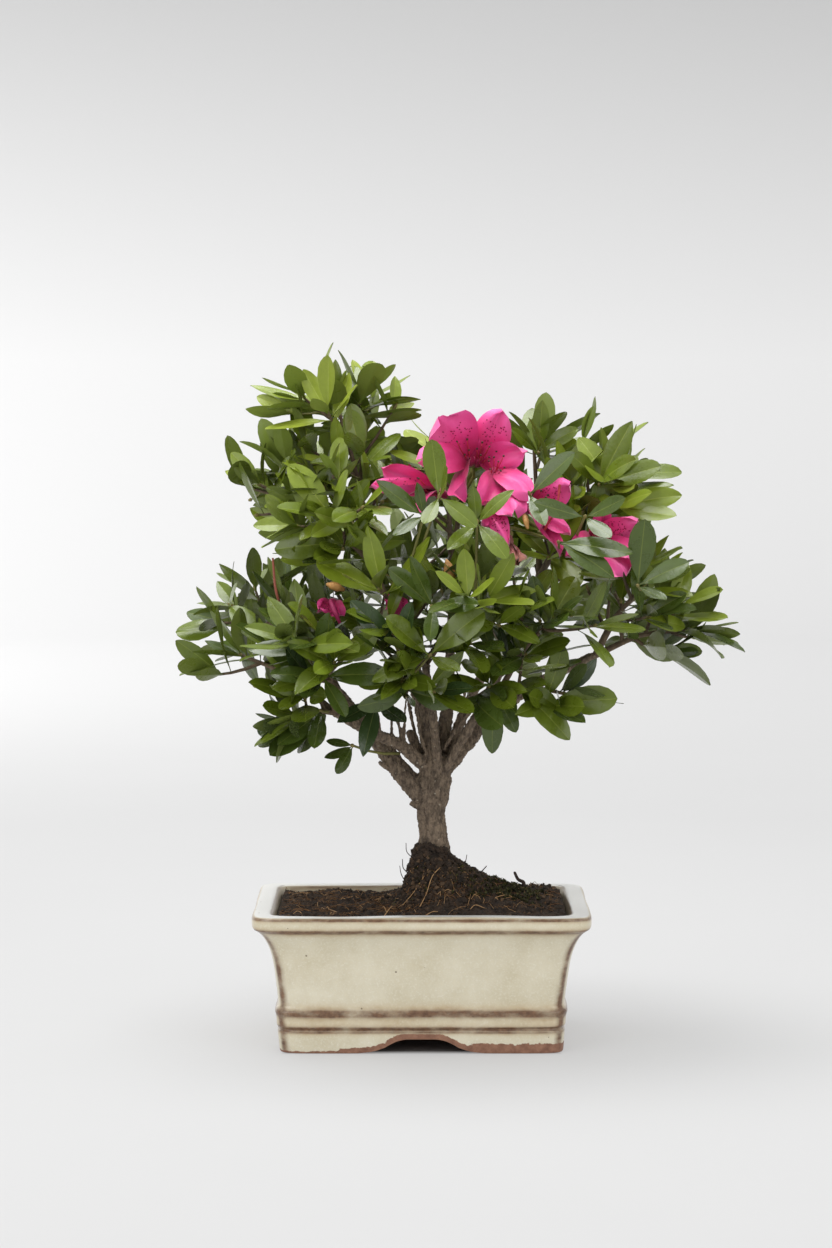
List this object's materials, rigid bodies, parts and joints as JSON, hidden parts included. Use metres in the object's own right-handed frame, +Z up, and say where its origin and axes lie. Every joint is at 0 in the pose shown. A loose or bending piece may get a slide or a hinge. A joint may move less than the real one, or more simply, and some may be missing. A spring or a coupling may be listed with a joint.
{
  "type": "potted azalea bonsai",
  "caption": "Azalea bonsai in bloom: a short tapered trunk forks into leafy boughs with hot pink blossom, in a footed rectangular cream-glazed pot.",
  "frame": {"origin": "under the middle of the whole plant's box, on the surface that the pot stands on", "axes": "+Z up, -Y towards the front of the plant, +X to its right as seen from the front"},
  "size_m": [0.3058, 0.2682, 0.3754],
  "materials": {
    "glaze": "cream glaze with brown edges",
    "soil": "dark peat",
    "bark": "grey-brown bark",
    "leaf": "glossy leaf",
    "blossom": "soft petal"
  },
  "bodies": {
    "root": {"pot": "glaze", "soil": "soil", "trunk": "bark", "bough_left_low": "bark", "bough_left_front": "bark", "bough_tower": "bark", "bough_centre": "bark", "bough_right_low": "bark", "bough_right_up": "bark", "bough_centre_front": "bark", "bough_right_under": "bark", "bough_back_left": "bark", "bough_back_right": "bark", "dead_stub": "bark", "foliage_left_tier": "leaf", "foliage_left_back": "leaf", "foliage_left_under": "leaf", "foliage_left_lower_tier": "leaf", "foliage_left_front": "leaf", "foliage_crown_top": "leaf", "foliage_crown_left": "leaf", "foliage_tower_front": "leaf", "foliage_tower_back": "leaf", "foliage_blossom_centre": "blossom", "foliage_centre_back": "leaf", "foliage_front_left": "leaf", "foliage_front_right": "leaf", "foliage_front_low": "leaf", "foliage_right_tip": "leaf", "foliage_right_mid": "leaf", "foliage_right_back": "leaf", "foliage_right_top": "leaf", "foliage_right_high": "leaf", "foliage_blossom_right": "blossom", "foliage_right_low": "leaf", "foliage_right_inner": "leaf", "foliage_right_front": "leaf", "foliage_back_left": "leaf", "foliage_back_mid": "leaf", "foliage_back_right": "leaf", "foliage_back_low": "leaf"}
  },
  "joints": []
}
